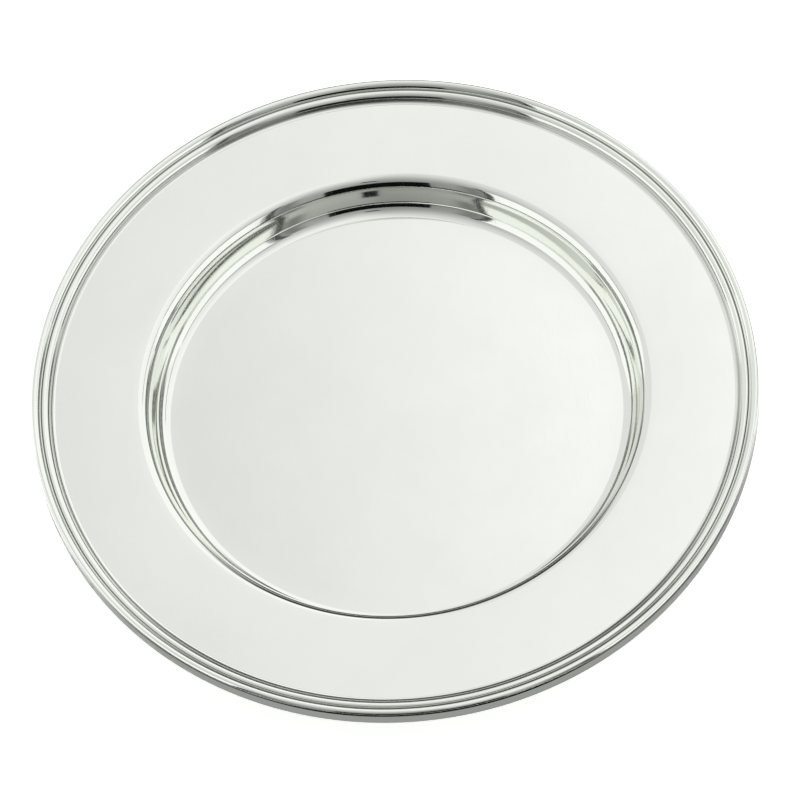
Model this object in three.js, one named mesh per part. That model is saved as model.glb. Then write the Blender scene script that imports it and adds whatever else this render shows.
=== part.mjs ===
// Offering plate: a round, dished plate of silver-plated sheet with an applied reeded border.
// Millimetres, +Z up. The origin is under the middle of the floor, on the face it stands on.
// Every piece is turned about the Z axis, so each one is a cross-section (radius, height)
// swept round by a lathe.

import * as THREE from 'three';

// ---- driving dimensions ----

const OUTER_RADIUS = 150;
const BORDER_WIDTH = 9.9;
const SHEET = 1.0;
const GAP = 0.3;

const FLOOR_RADIUS = 94.1;
const MARLY_RISE = degrees(1.6);
// The well's wall is one soft S. Each bend is a radius of curvature and the slope it ends at.
const FLOOR_BENDS = [
  { radius: 5.2, slope: degrees(45.9), steps: 4 },
  { radius: 10.4, slope: degrees(60.3), steps: 2 },
  { radius: 2.6, slope: degrees(76.6), steps: 2 },
  { radius: 58, slope: degrees(82.7), steps: 1 },
];
const LIP_BENDS = [
  { radius: 31, slope: degrees(78.2), steps: 1 },
  { radius: 1.3, slope: degrees(60.3), steps: 2 },
  { radius: 12, slope: degrees(48.5), steps: 2 },
  { radius: 4.6, slope: MARLY_RISE, steps: 4 },
];

const MOULDING_SHEET = 0.6;
const FOOT_EDGE = 0.2;
const FOOT_WIDTH = 0.75;
const COVE = { radius: 1.1, slope: degrees(70.3), steps: 3 };
const INNER_REED = {
  crest: 3.59,
  slope: degrees(70.3),
  bends: [
    { radius: 4.7, slope: degrees(50.1), steps: 1 },
    { radius: 2.4, slope: 0, steps: 3 },
    { radius: 1.1, slope: degrees(-65.4), steps: 3 },
  ],
};
const OUTER_REED = {
  crest: 5.8,
  slope: degrees(74.6),
  bends: [
    { radius: 4.1, slope: degrees(45), steps: 2 },
    { radius: 2.4, slope: 0, steps: 3 },
  ],
};
const ROLL = { radius: 1.3, slope: degrees(-38.1), steps: 2 };
const HEM_RADIUS = 1.1;
const HEM_DROP = 2.6;
const HEM_LENGTH = 5.6;
const FLANGE_LENGTH = 5.6;

const WIRE_RADIUS = 1.1;
const SOLDER_START = 3;
const SOLDER_WIDTH = 2.2;
const SEGMENTS = 64;
const WIRE_SIDES = 10;

const joinRadius = OUTER_RADIUS - BORDER_WIDTH;

// ---- helpers ----

function degrees(angle) {
  return (angle * Math.PI) / 180;
}

// Carries a line on along an arc, from its last point and the slope it has there to a new slope.
// Slopes are positive uphill. A growing slope curves upwards and a falling one rolls over.
function bend(line, from, { radius, slope, steps }) {
  const start = line[line.length - 1].clone();
  const turn = slope > from ? 1 : -1;
  for (let i = 1; i <= steps; i += 1) {
    const angle = from + ((slope - from) * i) / steps;
    const r = start.x + turn * radius * (Math.sin(angle) - Math.sin(from));
    const z = start.y - turn * radius * (Math.cos(angle) - Math.cos(from));
    line.push(new THREE.Vector2(r, z));
  }
}

// Several bends one after another, each tangent to the one before.
function bends(line, from, list) {
  let slope = from;
  for (const next of list) {
    bend(line, slope, next);
    slope = next.slope;
  }
}

// The same line moved sideways by a distance, to the right of its direction of travel.
function offsetLine(line, distance) {
  return line.map((point, i) => {
    const before = line[Math.max(i - 1, 0)];
    const after = line[Math.min(i + 1, line.length - 1)];
    const incoming = point.clone().sub(before).normalize();
    const outgoing = after.clone().sub(point).normalize();
    const travel = incoming.clone().add(outgoing).normalize();
    const mitre = Math.max(travel.dot(i > 0 ? incoming : outgoing), 0.5);
    const right = new THREE.Vector2(travel.y, -travel.x);
    return point.clone().addScaledVector(right, distance / mitre);
  });
}

// A closed section of sheet metal: the upper line, and back along its underside.
function sheetSection(upper, lower) {
  return [...lower, ...upper.slice().reverse()];
}

// A section that touches the axis stays open there, and any other is closed on itself.
function turned(name, section, material) {
  const outline = section[0].x > 0 ? [...section, section[0].clone()] : section;
  const geometry = new THREE.LatheGeometry(outline, SEGMENTS);
  geometry.rotateX(Math.PI / 2);
  const mesh = new THREE.Mesh(geometry, material);
  mesh.name = name;
  return mesh;
}

// ---- materials ----

const silverPlate = new THREE.MeshStandardMaterial({ color: 0xe6e8e2, roughness: 0.06, metalness: 1 });
const borderPlate = new THREE.MeshStandardMaterial({ color: 0xe4e6e0, roughness: 0.05, metalness: 1 });
const wireSteel = new THREE.MeshStandardMaterial({ color: 0x8d8f8e, roughness: 0.4, metalness: 1 });
const softSolder = new THREE.MeshStandardMaterial({ color: 0xa3a5a2, roughness: 0.5, metalness: 1 });

// ---- plate body ----

// Upper surface of the sheet, from the middle of the floor out to the end of the flange.
function bodyUpperLine() {
  const line = [new THREE.Vector2(0, SHEET), new THREE.Vector2(FLOOR_RADIUS, SHEET)];
  bends(line, 0, [...FLOOR_BENDS, ...LIP_BENDS]);
  const lip = line[line.length - 1];
  const flangeEnd = joinRadius + FLANGE_LENGTH;
  line.push(new THREE.Vector2(flangeEnd, lip.y + (flangeEnd - lip.x) * Math.tan(MARLY_RISE)));
  return line;
}

const bodyUpper = bodyUpperLine();
const flangeTip = bodyUpper[bodyUpper.length - 1];
const joinZ = flangeTip.y - FLANGE_LENGTH * Math.tan(MARLY_RISE);

// Height of the marly and of the flange, which runs on in the same slope.
function flangeZ(radius) {
  return joinZ + (radius - joinRadius) * Math.tan(MARLY_RISE);
}

function plateBody() {
  const lower = offsetLine(bodyUpper, SHEET);
  lower[0].x = 0;
  return turned('plate_body', sheetSection(bodyUpper, lower), silverPlate);
}

// ---- reeded border ----

// A reed: a steep straight foot up from the last point, then a rounded top reaching its crest.
function reed(line, { crest, slope, bends: top }) {
  const shape = [new THREE.Vector2(0, 0)];
  bends(shape, slope, top);
  const rise = Math.max(...shape.map((point) => point.y));
  const last = line[line.length - 1];
  const z = joinZ + crest - rise;
  line.push(new THREE.Vector2(last.x + (z - last.y) / Math.tan(slope), z));
  bends(line, slope, top);
}

// Outer surface of the moulding, from its thin edge on the marly up a cove and over both reeds,
// round the outside and back under the flange to the end of the hem.
function borderOuterLine() {
  const footZ = joinZ + GAP + FOOT_EDGE;
  const line = [new THREE.Vector2(joinRadius, footZ), new THREE.Vector2(joinRadius + FOOT_WIDTH, footZ)];
  bend(line, 0, COVE);
  reed(line, INNER_REED);
  reed(line, OUTER_REED);
  bend(line, 0, ROLL);
  const left = OUTER_RADIUS - line[line.length - 1].x;
  const radius = left / (1 + Math.sin(ROLL.slope));
  bend(line, ROLL.slope, { radius, slope: degrees(-90), steps: 3 });
  const hem = new THREE.Vector2(OUTER_RADIUS, joinZ - HEM_DROP + HEM_RADIUS);
  for (let i = 0; i <= 3; i += 1) {
    const turn = degrees((90 * i) / 3);
    const r = hem.x - HEM_RADIUS * (1 - Math.cos(turn));
    line.push(new THREE.Vector2(r, hem.y - HEM_RADIUS * Math.sin(turn)));
  }
  const end = line[line.length - 1];
  line.push(new THREE.Vector2(end.x - HEM_LENGTH, end.y));
  return line;
}

// The underside follows the outer surface, except at the foot, which is filed flat to the marly.
function reededBorder() {
  const outer = borderOuterLine();
  const inner = offsetLine(outer, MOULDING_SHEET);
  for (const point of inner.slice(0, COVE.steps + 2)) {
    point.y = Math.max(point.y, flangeZ(point.x) + GAP);
  }
  return turned('reeded_border', sheetSection(outer, inner), borderPlate);
}

// ---- hidden pieces under the border ----

// The wire lies in the outside corner of the hem, between the flange's edge and the roll.
const wireCentre = new THREE.Vector2(
  OUTER_RADIUS - MOULDING_SHEET - GAP - WIRE_RADIUS,
  joinZ - HEM_DROP + MOULDING_SHEET + GAP + WIRE_RADIUS,
);

function edgeWire() {
  const section = [];
  for (let i = 0; i < WIRE_SIDES; i += 1) {
    const angle = (2 * Math.PI * i) / WIRE_SIDES;
    const r = wireCentre.x + WIRE_RADIUS * Math.cos(angle);
    const z = wireCentre.y + WIRE_RADIUS * Math.sin(angle);
    section.push(new THREE.Vector2(r, z));
  }
  return turned('edge_wire', section, wireSteel);
}

function solderRing() {
  const left = joinRadius + SOLDER_START;
  const right = left + SOLDER_WIDTH;
  const bottom = flangeZ(right) + GAP;
  const section = [
    new THREE.Vector2(left, bottom),
    new THREE.Vector2(right, bottom),
    new THREE.Vector2(right, bottom + 0.6),
    new THREE.Vector2(left + SOLDER_WIDTH / 2, bottom + 1.1),
    new THREE.Vector2(left, bottom + 0.7),
  ];
  return turned('solder_ring', section, softSolder);
}

const offeringPlate = new THREE.Group();
offeringPlate.add(plateBody(), reededBorder(), edgeWire(), solderRing());

export default offeringPlate;
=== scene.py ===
"""Offering plate: the looks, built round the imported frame. Metres, +Z up."""
import math

import bpy
from mathutils import Matrix, Vector


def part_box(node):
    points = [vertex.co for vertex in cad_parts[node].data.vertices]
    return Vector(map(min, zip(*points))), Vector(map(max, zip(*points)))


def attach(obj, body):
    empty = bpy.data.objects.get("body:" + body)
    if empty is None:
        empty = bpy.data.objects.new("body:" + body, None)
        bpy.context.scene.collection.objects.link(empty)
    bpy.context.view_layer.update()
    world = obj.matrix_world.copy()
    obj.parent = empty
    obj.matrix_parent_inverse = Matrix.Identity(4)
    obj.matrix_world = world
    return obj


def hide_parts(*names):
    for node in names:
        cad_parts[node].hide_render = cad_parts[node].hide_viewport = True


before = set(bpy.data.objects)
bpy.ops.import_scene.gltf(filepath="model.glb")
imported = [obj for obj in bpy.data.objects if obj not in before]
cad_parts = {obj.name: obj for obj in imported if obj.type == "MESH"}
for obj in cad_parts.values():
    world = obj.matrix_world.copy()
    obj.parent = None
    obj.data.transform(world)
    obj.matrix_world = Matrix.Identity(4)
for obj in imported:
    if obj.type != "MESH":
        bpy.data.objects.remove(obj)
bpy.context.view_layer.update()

MM = 0.001

# ---- sizes, from the frame and the plate's driving dimensions -------------------------------

OUTER_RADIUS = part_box("reeded_border")[1].x
FLANGE_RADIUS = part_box("plate_body")[1].x
SHEET = 1.0 * MM
FLOOR_RADIUS = 94.1 * MM
MARLY_RISE = 1.6
MARLY_GRADIENT = math.tan(math.radians(MARLY_RISE))

# The well's wall is one soft S. Each bend is (radius of curvature, slope reached in degrees).
FLOOR_BENDS = ((5.2 * MM, 45.9), (10.4 * MM, 60.3), (0.8 * MM, 62.2),
               (2.6 * MM, 76.6), (58 * MM, 82.7))
LIP_BENDS = ((31 * MM, 78.2), (1.3 * MM, 62.2), (0.8 * MM, 60.3),
             (12 * MM, 48.5), (4.6 * MM, MARLY_RISE))

MOULDING_SHEET = 0.6 * MM
BORDER_WIDTH = 9.9 * MM
JOIN_RADIUS = OUTER_RADIUS - BORDER_WIDTH
SEAM_GAP = 0.02 * MM
FOOT_EDGE = 0.04 * MM
COVE_RADIUS = 1.9 * MM
INNER_SLOPE = 70.3
INNER_CREST = 3.62 * MM
INNER_REED = ((4.7 * MM, 50.1), (2.4 * MM, 0), (1.1 * MM, -65.4))
OUTER_SLOPE = 74.6
OUTER_CREST = 5.8 * MM
OUTER_REED = ((4.1 * MM, 45), (2.4 * MM, 0))
ROLL = (1.3 * MM, -38.1)
HEM_RADIUS = 1.1 * MM
HEM_DROP = 2.6 * MM
HEM_LENGTH = 5.6 * MM

SOLDER_WIDTH = 2.2 * MM
SOLDER_EDGE = 0.6 * MM
SOLDER_CREST = 1.3 * MM
SOLDER_SHOULDER = 0.9 * MM
SHOULDER_DROP = 0.06 * MM

SEGMENTS = 720
ARC_STEPS = 24
WIRE_SIDES = 24

# ---- studio ---------------------------------------------------------------------------------

FLOOR_GLOW = 0.5
# Brightness of the sky. The left and right values scale the others, and each blend is how far
# from the middle, as a part of the sky's radius, the brightness goes on changing.
SKY_FRONT = 0.27
SKY_TOP = 0.84
SKY_BACK = 0.97
SKY_LEFT = 0.83
SKY_RIGHT = 1.06
SIDE_BLEND = 0.05
BACK_BLEND = 0.5
FLOOR_HALF_SIZE = 6.0
CARD_STEPS = 48
RING_STEPS = 180


# ---- outlines in the (radius, height) plane -------------------------------------------------

def bend(line, radius, start, end):
    """Carry the line on along an arc from its last point. Angles are slopes uphill, in degrees."""
    r, z = line[-1]
    turn = 1 if end > start else -1
    first = math.radians(start)
    for i in range(1, ARC_STEPS + 1):
        slope = math.radians(start + (end - start) * i / ARC_STEPS)
        line.append((
            r + turn * radius * (math.sin(slope) - math.sin(first)),
            z - turn * radius * (math.cos(slope) - math.cos(first)),
        ))


def bends(line, slope, arcs):
    """Several arcs one after another, each tangent to the one before."""
    for radius, end in arcs:
        bend(line, radius, slope, end)
        slope = end


def straight(start, end, steps):
    """Points after start, up to end."""
    return [
        (start[0] + (end[0] - start[0]) * i / steps, start[1] + (end[1] - start[1]) * i / steps)
        for i in range(1, steps + 1)
    ]


def offset_line(line, distance):
    """The line moved to the right of its travel, without the points that a tight bend folds back."""
    moved = []
    for i, point in enumerate(line):
        here = Vector(point)
        before = Vector(line[max(i - 1, 0)])
        after = Vector(line[min(i + 1, len(line) - 1)])
        incoming = (here - before).normalized()
        outgoing = (after - here).normalized()
        travel = (incoming + outgoing).normalized()
        mitre = max(travel.dot(outgoing), 0.5) if i < len(line) - 1 else 1.0
        shifted = here + Vector((travel.y, -travel.x)) * (distance / mitre)
        if not moved or (shifted - Vector(moved[-1])).dot(here - before) > 0:
            moved.append(tuple(shifted))
    return moved


def body_upper_line():
    """Upper face of the sheet, from the middle of the floor to the end of the flange."""
    line = [(0.0, SHEET)] + straight((0.0, SHEET), (FLOOR_RADIUS, SHEET), 12)
    bends(line, 0, FLOOR_BENDS + LIP_BENDS)
    lip_r, lip_z = line[-1]
    flange_z = lip_z + (FLANGE_RADIUS - lip_r) * MARLY_GRADIENT
    return line + straight(line[-1], (FLANGE_RADIUS, flange_z), 12)


body_upper = body_upper_line()
JOIN_Z = body_upper[-1][1] - (FLANGE_RADIUS - JOIN_RADIUS) * MARLY_GRADIENT


def reed(line, slope, crest_z, arcs):
    """A steep straight foot up from the last point, then the rounded top reaching crest_z."""
    top = [(0.0, 0.0)]
    bends(top, slope, arcs)
    lift = crest_z - max(z for _, z in top)
    r, z = line[-1]
    line.append((r + (lift - z) / math.tan(math.radians(slope)), lift))
    bends(line, slope, arcs)


def border_outer_line():
    """Outer face of the moulding: cove, inner reed, groove, outer reed, rolled edge and hem."""
    line = [(JOIN_RADIUS, JOIN_Z + SEAM_GAP + FOOT_EDGE)]
    bend(line, COVE_RADIUS, 0, INNER_SLOPE)
    reed(line, INNER_SLOPE, JOIN_Z + INNER_CREST, INNER_REED)
    reed(line, OUTER_SLOPE, JOIN_Z + OUTER_CREST, OUTER_REED)
    roll_radius, roll_slope = ROLL
    bend(line, roll_radius, 0, roll_slope)
    left = OUTER_RADIUS - line[-1][0]
    bend(line, left / (1 + math.sin(math.radians(roll_slope))), roll_slope, -90)
    hem = (OUTER_RADIUS, JOIN_Z - HEM_DROP + HEM_RADIUS)
    line += straight(line[-1], hem, 4)
    for i in range(1, ARC_STEPS + 1):
        turn = math.pi / 2 * i / ARC_STEPS
        line.append((hem[0] - HEM_RADIUS * (1 - math.cos(turn)), hem[1] - HEM_RADIUS * math.sin(turn)))
    return line + straight(line[-1], (line[-1][0] - HEM_LENGTH, line[-1][1]), 4)


border_outer = border_outer_line()
# The groove is the lowest point between the two crests.
GROOVE_RADIUS = min(
    (z, r) for r, z in border_outer if JOIN_RADIUS + 4 * MM < r < JOIN_RADIUS + 7 * MM and z > JOIN_Z
)[1]


# ---- turned meshes --------------------------------------------------------------------------

def turned(name, outline, node, material):
    """The closed outline swept round the axis as one smooth closed mesh."""
    on_axis = [abs(r) < 1e-9 for r, _ in outline]
    vertices = []
    rings = []
    for (r, z), centre in zip(outline, on_axis):
        if centre:
            rings.append([len(vertices)] * SEGMENTS)
            vertices.append((0.0, 0.0, z))
            continue
        rings.append(list(range(len(vertices), len(vertices) + SEGMENTS)))
        for k in range(SEGMENTS):
            turn = 2 * math.pi * k / SEGMENTS
            vertices.append((r * math.cos(turn), r * math.sin(turn), z))
    faces = []
    for i, ring in enumerate(rings):
        following = rings[(i + 1) % len(rings)]
        if on_axis[i] and on_axis[(i + 1) % len(rings)]:
            continue
        for k in range(SEGMENTS):
            j = (k + 1) % SEGMENTS
            corners = [ring[k], ring[j], following[j], following[k]]
            faces.append(list(dict.fromkeys(corners)))
    mesh = bpy.data.meshes.new(name)
    mesh.from_pydata(vertices, [], faces)
    mesh.validate()
    mesh.shade_smooth()
    mesh.materials.append(material)
    piece = bpy.data.objects.new(name, mesh)
    bpy.context.scene.collection.objects.link(piece)
    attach(piece, "root")
    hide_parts(node)


# ---- materials ------------------------------------------------------------------------------

SILVER = (0.918, 0.942, 0.888, 1)
DULL_SILVER = tuple(channel * 0.965 for channel in SILVER[:3]) + (1,)
# Near-black tint that the base colour is darkened to in thin rings at set radii.
RECESS_DARK_TINT = (0.09, 0.09, 0.082, 1)


class Shader:
    """A procedural material under construction, with short calls for its nodes."""

    def __init__(self, name):
        self.material = bpy.data.materials.new(name)
        self.material.use_nodes = True
        self.tree = self.material.node_tree
        self.bsdf = self.tree.nodes["Principled BSDF"]
        self.place = self.node("ShaderNodeTexCoord").outputs["Object"]

    def node(self, kind, **settings):
        made = self.tree.nodes.new(kind)
        for key, value in settings.items():
            setattr(made, key, value)
        return made

    def feed(self, socket, value):
        if isinstance(value, bpy.types.NodeSocket):
            self.tree.links.new(value, socket)
        else:
            socket.default_value = value

    def math(self, operation, a, b=0.0, clamp=False):
        made = self.node("ShaderNodeMath", operation=operation, use_clamp=clamp)
        self.feed(made.inputs[0], a)
        self.feed(made.inputs[1], b)
        return made.outputs[0]

    def radius(self):
        """Distance from the plate's axis."""
        flat = self.node("ShaderNodeVectorMath", operation="MULTIPLY")
        self.feed(flat.inputs[0], self.place)
        flat.inputs[1].default_value = (1, 1, 0)
        length = self.node("ShaderNodeVectorMath", operation="LENGTH")
        self.feed(length.inputs[0], flat.outputs[0])
        return length.outputs["Value"]

    def noise(self, scale, detail=2.0, rough=0.5, vector=None):
        made = self.node("ShaderNodeTexNoise")
        self.feed(made.inputs["Vector"], vector or self.place)
        made.inputs["Scale"].default_value = scale
        made.inputs["Detail"].default_value = detail
        made.inputs["Roughness"].default_value = rough
        return made.outputs["Fac"]

    def ramp(self, value, low, high, start=0.0, end=1.0):
        """value from low..high stretched to start..end and clamped."""
        made = self.node("ShaderNodeMapRange", clamp=True)
        self.feed(made.inputs["Value"], value)
        made.inputs["From Min"].default_value = low
        made.inputs["From Max"].default_value = high
        made.inputs["To Min"].default_value = start
        made.inputs["To Max"].default_value = end
        return made.outputs["Result"]

    def rings(self, spacing, detail=3.0):
        """Noise that only changes with the radius, as turned or wheel-polished metal shows."""
        made = self.node("ShaderNodeTexNoise", noise_dimensions="1D")
        self.feed(made.inputs["W"], self.radius())
        made.inputs["Scale"].default_value = 1 / spacing
        made.inputs["Detail"].default_value = detail
        return made.outputs["Fac"]

    def hairlines(self, angle, spacing, length, rarity):
        """Thin straight scratches lying at an angle in the XY plane."""
        lie = self.node("ShaderNodeMapping")
        self.feed(lie.inputs["Vector"], self.place)
        lie.inputs["Rotation"].default_value = (0, 0, math.radians(angle))
        lie.inputs["Scale"].default_value = (1 / spacing, 1 / length, 1 / length)
        streak = self.noise(1.0, detail=1.0, vector=lie.outputs["Vector"])
        return self.ramp(streak, rarity, rarity + 0.03)

    def mix(self, factor, first, second):
        made = self.node("ShaderNodeMix", data_type="RGBA")
        self.feed(made.inputs[0], factor)
        self.feed(made.inputs[6], first)
        self.feed(made.inputs[7], second)
        return made.outputs[2]

    def bump(self, height, distance, normal=None):
        made = self.node("ShaderNodeBump")
        made.inputs["Strength"].default_value = 1.0
        made.inputs["Distance"].default_value = distance
        self.feed(made.inputs["Height"], height)
        if normal is not None:
            self.feed(made.inputs["Normal"], normal)
        return made.outputs["Normal"]


def silver_plate(name, haze, ring_depth, scratch_depth, recesses):
    """Bright silver plate: polishing rings, hairlines, haze, tiny pits and dark recesses.

    recesses lists rings at set radii where the base colour is darkened towards near black, each as
    (radius, half width, strength).
    """
    s = Shader(name)
    cloud = s.noise(28, detail=4, rough=0.6)
    grain = s.noise(1500, detail=2)
    rings = s.rings(0.35 * MM)
    scratches = s.math("ADD", s.hairlines(17, 0.25 * MM, 30 * MM, 0.70),
                       s.hairlines(-52, 0.3 * MM, 22 * MM, 0.71))
    scratches = s.math("ADD", scratches, s.hairlines(74, 0.22 * MM, 16 * MM, 0.72), clamp=True)
    tint = s.mix(s.ramp(cloud, 0.35, 0.7), SILVER, DULL_SILVER)
    tint = s.mix(s.ramp(grain, 0.3, 0.75, 0, 0.35), tint, DULL_SILVER)
    # The base colour is darkened in thin rings at the given radii, and these rings are also a little
    # rougher.
    recess_darkening = 0.0
    for radius, half_width, strength in recesses:
        away = s.math("ABSOLUTE", s.math("SUBTRACT", s.radius(), radius))
        recess_darkening = s.math("ADD", recess_darkening, s.ramp(away, half_width * 0.3, half_width, strength, 0.0))
    tint = s.mix(recess_darkening, tint, RECESS_DARK_TINT)
    s.feed(s.bsdf.inputs["Base Color"], tint)
    s.bsdf.inputs["Metallic"].default_value = 1.0
    rough = s.ramp(cloud, 0.3, 0.75, haze, haze * 1.7)
    rough = s.math("ADD", rough, s.math("MULTIPLY", recess_darkening, 0.25))
    rough = s.math("ADD", rough, s.ramp(rings, 0.35, 0.75, 0, haze * 0.4))
    rough = s.math("ADD", rough, s.math("MULTIPLY", scratches, 0.06))
    s.feed(s.bsdf.inputs["Roughness"], rough)
    normal = s.bump(rings, ring_depth)
    normal = s.bump(grain, 0.0012 * MM, normal)
    normal = s.bump(s.math("SUBTRACT", 1.0, scratches), scratch_depth, normal)
    s.feed(s.bsdf.inputs["Normal"], normal)
    return s.material


def drawn_steel(name):
    """Satin steel wire with fine drawing lines."""
    s = Shader(name)
    streak = s.rings(0.08 * MM, detail=4)
    patch = s.noise(60, detail=4)
    tint = s.mix(s.ramp(patch, 0.3, 0.7), (0.5, 0.51, 0.51, 1), (0.38, 0.37, 0.36, 1))
    s.feed(s.bsdf.inputs["Base Color"], tint)
    s.bsdf.inputs["Metallic"].default_value = 1.0
    s.feed(s.bsdf.inputs["Roughness"], s.ramp(streak, 0.3, 0.7, 0.3, 0.48))
    s.feed(s.bsdf.inputs["Normal"], s.bump(streak, 0.004 * MM))
    return s.material


def tin_solder(name):
    """Dull soft solder, lumpy as it flowed."""
    s = Shader(name)
    lumps = s.noise(700, detail=4)
    patch = s.noise(90, detail=3)
    tint = s.mix(s.ramp(patch, 0.3, 0.7), (0.62, 0.63, 0.62, 1), (0.48, 0.48, 0.46, 1))
    s.feed(s.bsdf.inputs["Base Color"], tint)
    s.bsdf.inputs["Metallic"].default_value = 1.0
    s.feed(s.bsdf.inputs["Roughness"], s.ramp(lumps, 0.3, 0.7, 0.38, 0.6))
    s.feed(s.bsdf.inputs["Normal"], s.bump(lumps, 0.06 * MM))
    return s.material


# ---- pieces ---------------------------------------------------------------------------------

body_silver = silver_plate("plate_silver", haze=0.045, ring_depth=0.0003 * MM,
                           scratch_depth=0.0012 * MM, recesses=())
# The border's base colour is darkened in a ring at the cove and in a narrower, darker ring at the
# groove.
COVE_RECESS = (JOIN_RADIUS + 1.6 * MM, 0.9 * MM, 0.42)
GROOVE_RECESS = (GROOVE_RADIUS, 0.3 * MM, 0.7)
border_silver = silver_plate("border_silver", haze=0.04, ring_depth=0.00003 * MM,
                             scratch_depth=0.0008 * MM, recesses=(COVE_RECESS, GROOVE_RECESS))

body_lower = offset_line(body_upper, SHEET)
body_lower[0] = (0.0, 0.0)
turned("spun_plate", body_upper + body_lower[::-1], "plate_body", body_silver)

# The moulding's underside is filed flat to the marly under the cove.
border_inner = offset_line(border_outer, MOULDING_SHEET)
for i in range(ARC_STEPS + 1):
    r, z = border_inner[i]
    marly = JOIN_Z + (r - JOIN_RADIUS) * MARLY_GRADIENT
    border_inner[i] = (r, max(z, marly + SEAM_GAP))
turned("border_moulding", border_outer + border_inner[::-1], "reeded_border",
       border_silver)

wire_low, wire_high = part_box("edge_wire")
wire_radius = (wire_high.z - wire_low.z) / 2
wire_centre = (wire_high.x - wire_radius, (wire_high.z + wire_low.z) / 2)
wire_turns = [2 * math.pi * i / WIRE_SIDES for i in range(WIRE_SIDES)]
wire_outline = [
    (wire_centre[0] + wire_radius * math.sin(turn), wire_centre[1] + wire_radius * math.cos(turn))
    for turn in wire_turns
]
turned("stiffening_wire", wire_outline, "edge_wire", drawn_steel("wire_steel"))

solder_low, solder_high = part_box("solder_ring")
solder_outline = [
    (solder_high.x - SOLDER_WIDTH, solder_low.z),
    (solder_high.x, solder_low.z),
    (solder_high.x, solder_low.z + SOLDER_EDGE),
    (solder_high.x - SOLDER_SHOULDER, solder_high.z - SHOULDER_DROP),
    (solder_high.x - SOLDER_CREST, solder_high.z),
    (solder_high.x - SOLDER_WIDTH, solder_low.z + SOLDER_EDGE),
]
turned("solder_fillet", solder_outline, "solder_ring", tin_solder("soft_solder"))


# ---- studio: a white tent with a dim opening on the camera's side ---------------------------

def flat_light(name, strength, feathered):
    """An even glow, or black where strength is near 0. Feathered, it fades out with cover."""
    material = bpy.data.materials.new(name)
    material.use_nodes = True
    tree = material.node_tree
    tree.nodes.remove(tree.nodes["Principled BSDF"])
    glow = tree.nodes.new("ShaderNodeEmission")
    glow.inputs["Strength"].default_value = strength
    surface = glow.outputs[0]
    if feathered:
        cover = tree.nodes.new("ShaderNodeAttribute")
        cover.attribute_name = "cover"
        mix = tree.nodes.new("ShaderNodeMixShader")
        clear = tree.nodes.new("ShaderNodeBsdfTransparent")
        tree.links.new(cover.outputs["Fac"], mix.inputs[0])
        tree.links.new(clear.outputs[0], mix.inputs[1])
        tree.links.new(surface, mix.inputs[2])
        surface = mix.outputs[0]
    tree.links.new(surface, tree.nodes["Material Output"].inputs[0])
    return material


def fade(distance, soft):
    """0 at an edge, rising smoothly to 1 at soft from it. An edge with soft 0 is sharp."""
    share = min(distance / soft, 1) if soft else 1
    return share * share * (3 - 2 * share)


def stand(name, vertices, faces, strength, cover):
    """A light or dark panel in the studio, which only reflections in the metal show.

    cover is how solid the panel is at each vertex, or None for a panel with sharp edges.
    """
    mesh = bpy.data.meshes.new(name)
    mesh.from_pydata(vertices, [], faces)
    if cover:
        mesh.attributes.new("cover", "FLOAT", "POINT").data.foreach_set("value", cover)
    mesh.materials.append(flat_light(name, strength, cover is not None))
    panel = bpy.data.objects.new(name, mesh)
    bpy.context.scene.collection.objects.link(panel)
    panel.visible_camera = False
    panel.visible_diffuse = False
    panel.visible_shadow = False


def card(name, azimuths, heights, distance, strength, soft=(0, 0)):
    """A curved panel round the plate. Azimuth 0 is the camera's side, positive to its right.

    soft gives the degrees over which its side edges and its upper edge fade away.
    """
    vertices = []
    cover = []
    for j in range(CARD_STEPS + 1):
        height = heights[0] + (heights[1] - heights[0]) * j / CARD_STEPS
        rise = math.radians(height)
        for i in range(CARD_STEPS + 1):
            azimuth = azimuths[0] + (azimuths[1] - azimuths[0]) * i / CARD_STEPS
            turn = math.radians(azimuth)
            vertices.append((
                distance * math.cos(rise) * math.sin(turn),
                -distance * math.cos(rise) * math.cos(turn),
                distance * math.sin(rise),
            ))
            side = min(azimuth - azimuths[0], azimuths[1] - azimuth)
            cover.append(fade(side, soft[0]) * fade(heights[1] - height, soft[1]))
    row = CARD_STEPS + 1
    faces = [
        (j * row + i, j * row + i + 1, (j + 1) * row + i + 1, (j + 1) * row + i)
        for j in range(CARD_STEPS) for i in range(CARD_STEPS)
    ]
    stand(name, vertices, faces, strength, cover if any(soft) else None)


def table_ring(name, azimuths, radii, strength, soft=0, height=1.2 * MM):
    """Part of a flat ring lying over the table round the plate. Its ends fade over soft degrees."""
    vertices = []
    cover = []
    for i in range(RING_STEPS + 1):
        azimuth = azimuths[0] + (azimuths[1] - azimuths[0]) * i / RING_STEPS
        turn = math.radians(azimuth)
        end = min(azimuth - azimuths[0], azimuths[1] - azimuth)
        for radius in radii:
            vertices.append((radius * math.sin(turn), -radius * math.cos(turn), height))
            cover.append(fade(end, soft))
    faces = [(2 * i, 2 * i + 1, 2 * i + 3, 2 * i + 2) for i in range(RING_STEPS)]
    stand(name, vertices, faces, strength, cover if soft else None)


def studio_floor():
    """A plain pale floor that glows a little, so that it stays white under the plate."""
    half = FLOOR_HALF_SIZE
    mesh = bpy.data.meshes.new("studio_floor")
    mesh.from_pydata([(-half, -half, 0), (half, -half, 0), (half, half, 0), (-half, half, 0)],
                     [], [(0, 1, 2, 3)])
    material = bpy.data.materials.new("studio_floor")
    material.use_nodes = True
    bsdf = material.node_tree.nodes["Principled BSDF"]
    bsdf.inputs["Base Color"].default_value = (0.95, 0.95, 0.95, 1)
    bsdf.inputs["Roughness"].default_value = 0.9
    bsdf.inputs["Emission Color"].default_value = (1, 1, 1, 1)
    bsdf.inputs["Emission Strength"].default_value = FLOOR_GLOW
    mesh.materials.append(material)
    ground = bpy.data.objects.new("studio_floor", mesh)
    bpy.context.scene.collection.objects.link(ground)


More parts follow.
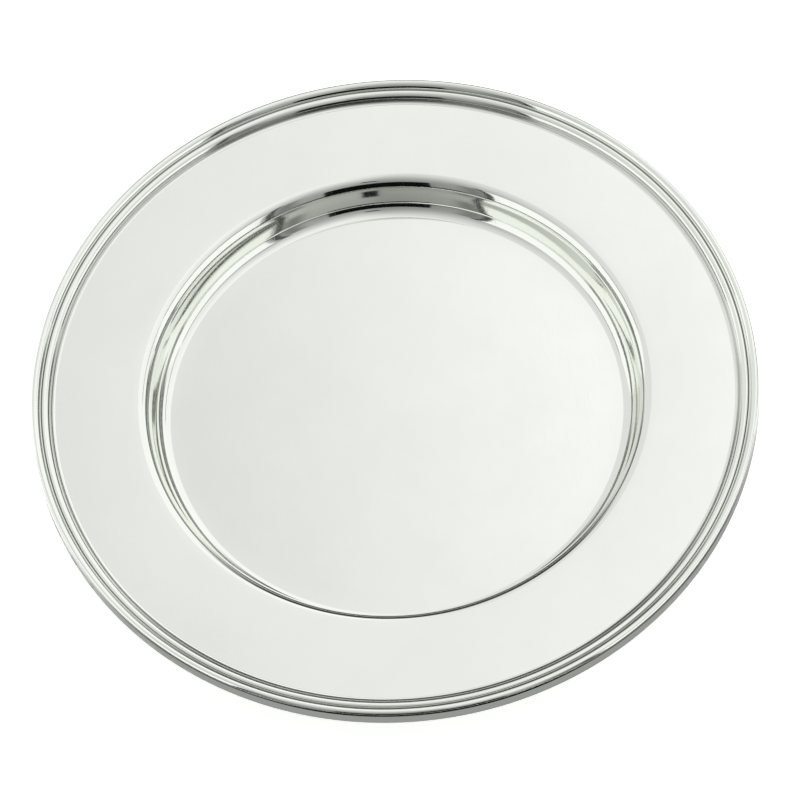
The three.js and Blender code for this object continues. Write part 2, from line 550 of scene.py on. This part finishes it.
def sky():
    """Soft light all round: darkest low on the camera's side, a little brighter on its right."""
    world = bpy.data.worlds.new("studio")
    world.use_nodes = True
    tree = world.node_tree
    place = tree.nodes.new("ShaderNodeTexCoord")
    apart = tree.nodes.new("ShaderNodeSeparateXYZ")
    tree.links.new(place.outputs["Generated"], apart.inputs[0])

    def ramp(socket, low, high, start, end):
        made = tree.nodes.new("ShaderNodeMapRange")
        tree.links.new(socket, made.inputs["Value"])
        for key, value in (("From Min", low), ("From Max", high), ("To Min", start), ("To Max", end)):
            made.inputs[key].default_value = value
        return made.outputs["Result"]

    def combine(operation, first, second):
        made = tree.nodes.new("ShaderNodeMath")
        made.operation = operation
        tree.links.new(first, made.inputs[0])
        tree.links.new(second, made.inputs[1])
        return made.outputs[0]

    front = ramp(apart.outputs["Y"], -1.0, 0.0, SKY_FRONT, SKY_TOP)
    back = ramp(apart.outputs["Y"], 0.0, BACK_BLEND, 0.0, SKY_BACK - SKY_TOP)
    side = ramp(apart.outputs["X"], -SIDE_BLEND, SIDE_BLEND, SKY_LEFT, SKY_RIGHT)
    strength = combine("MULTIPLY", combine("ADD", front, back), side)
    tree.links.new(strength, tree.nodes["Background"].inputs["Strength"])
    tree.nodes["Background"].inputs["Color"].default_value = (1, 1, 1, 1)
    bpy.context.scene.world = world


sky()
studio_floor()
# White cloth on both sides of the opening, and the dark poles it hangs on.
card("tent_right", (42, 100), (2, 40), distance=2.4, strength=1.04)
card("tent_left", (-125, -45), (2, 42), distance=2.4, strength=1.04)
card("frame_right", (40, 100), (42, 45), distance=2.35, strength=0.06)
card("frame_right_back", (100, 126), (38, 40.5), distance=2.35, strength=0.06)
card("frame_left_back", (-125, -100), (42, 45), distance=2.35, strength=0.06)
# The opening's two edges, each dark with a softer shade towards the middle.
card("end_right", (36.5, 40), (-0.4, 48), distance=2.1, strength=0.06)
card("end_right_soft", (24, 40), (-0.4, 42), distance=2.1, strength=0.2, soft=(8, 4))
card("end_left", (-45.5, -42), (-0.4, 48), distance=2.1, strength=0.06)
card("end_left_soft", (-46, -30), (-0.4, 42), distance=2.1, strength=0.2, soft=(8, 4))
# Black things seen through the opening.
card("opening_bar", (-22, 17), (-0.5, 25), distance=2.0, strength=0.004)
card("opening_block", (-3, 3.6), (39.3, 47), distance=1.9, strength=0.004)
# The dark edge where table and tent meet.
card("horizon_front", (-45, 42), (-0.4, 8), distance=2.3, strength=0.05)
card("horizon_right", (42, 100), (-0.4, 6), distance=2.3, strength=0.06)
card("horizon_back", (150, 210), (-0.4, 33), distance=2.3, strength=0.05, soft=(14, 6))
card("horizon_back_right", (100, 165), (-0.4, 14), distance=2.3, strength=0.07, soft=(10, 4))
card("horizon_back_left", (195, 230), (-0.4, 14), distance=2.3, strength=0.07, soft=(10, 4))
card("horizon_left", (-112, -45), (-0.4, 5), distance=2.3, strength=0.08)
# The table as the rim's underside sees it.
table_ring("table_shade", (-85, 95), (0.168, 0.6), strength=0.12, soft=35)
table_ring("opening_shade", (-34, 34), (0.166, 0.6), strength=0.01, soft=16, height=1.4 * MM)
table_ring("rim_shade", (-85, 95), (0.150, 0.168), strength=0.33, soft=35)
table_ring("contact_shade", (-180, 180), (0.150, 0.156), strength=0.42)


# ---- camera ---------------------------------------------------------------------------------

CAMERA_ELEVATION = math.radians(60.36)
CAMERA_DISTANCE = 1.6093178
CAMERA_ROLL = math.radians(-6.60)
CAMERA_LENS = 175.815
# The point that the camera aims at, from the middle of the rim.
AIM = Vector((1.95, -5.56, 0)) * MM

camera_data = bpy.data.cameras.new("camera")
camera_data.lens = CAMERA_LENS
camera_data.sensor_width = 36
camera_data.clip_end = 20
camera = bpy.data.objects.new("camera", camera_data)
bpy.context.scene.collection.objects.link(camera)
rim_centre = Vector((0, 0, JOIN_Z))
camera.location = rim_centre + CAMERA_DISTANCE * Vector(
    (0, -math.cos(CAMERA_ELEVATION), math.sin(CAMERA_ELEVATION)))
gaze = (rim_centre + AIM - camera.location).to_track_quat("-Z", "Y")
camera.rotation_euler = (gaze.to_matrix() @ Matrix.Rotation(CAMERA_ROLL, 3, "Z")).to_euler()
bpy.context.scene.camera = camera

bpy.context.scene.view_settings.view_transform = "Standard"
